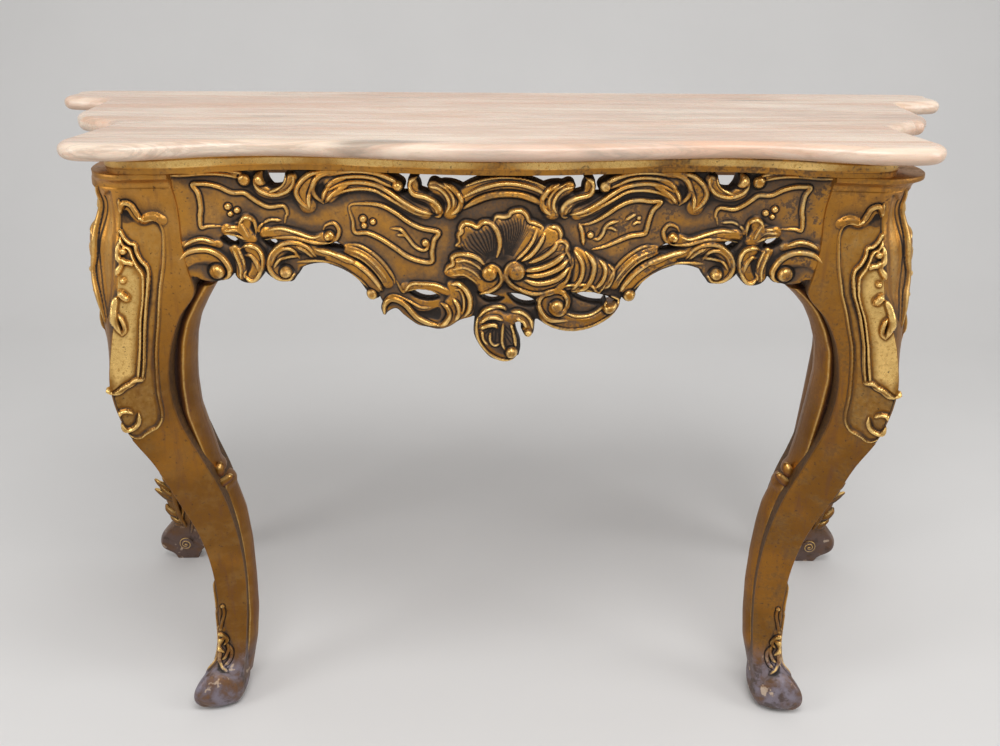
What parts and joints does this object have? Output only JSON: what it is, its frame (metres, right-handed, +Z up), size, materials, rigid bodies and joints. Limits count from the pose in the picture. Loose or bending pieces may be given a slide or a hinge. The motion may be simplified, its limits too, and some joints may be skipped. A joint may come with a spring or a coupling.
{
  "type": "pier table",
  "caption": "Rococo pier table with a shaped marble slab on a carved and gilded frame: cabriole legs, pierced shell-and-scroll apron and a straight wall side.",
  "frame": {"origin": "on the floor, under the middle of the marble slab's overall length and depth", "axes": "+X along the table's length, to the right when looking at the carved front; +Y from the carved front towards the wall side; +Z up"},
  "size_m": [1.344, 0.4928, 0.86],
  "materials": {
    "marble": "polished cream and pink marble with soft grey streaks",
    "gilded_wood": "aged water gilding, rubbed to red-brown in places, dark in the recesses",
    "bare_wood": "unfinished, dark with age"
  },
  "bodies": {
    "root": {"marble_top": "marble", "top_rail_front": "gilded_wood", "top_rail_right": "gilded_wood", "top_rail_left": "gilded_wood", "front_apron": "gilded_wood", "side_apron_right": "gilded_wood", "side_apron_left": "gilded_wood", "front_leg_right": "gilded_wood", "front_leg_left": "gilded_wood", "rear_leg_right": "gilded_wood", "rear_leg_left": "gilded_wood", "scroll_upper_front_right": "gilded_wood", "scroll_upper_front_left": "gilded_wood", "scroll_lower_front_right": "gilded_wood", "scroll_lower_front_left": "gilded_wood", "scroll_rear_right": "gilded_wood", "scroll_rear_left": "gilded_wood", "top_rail_back": "bare_wood", "marble_bearer_left": "bare_wood", "marble_bearer_right": "bare_wood", "back_rail": "bare_wood", "corner_block_front_right": "bare_wood", "corner_block_front_left": "bare_wood", "corner_block_rear_right": "bare_wood", "corner_block_rear_left": "bare_wood"}
  },
  "joints": []
}
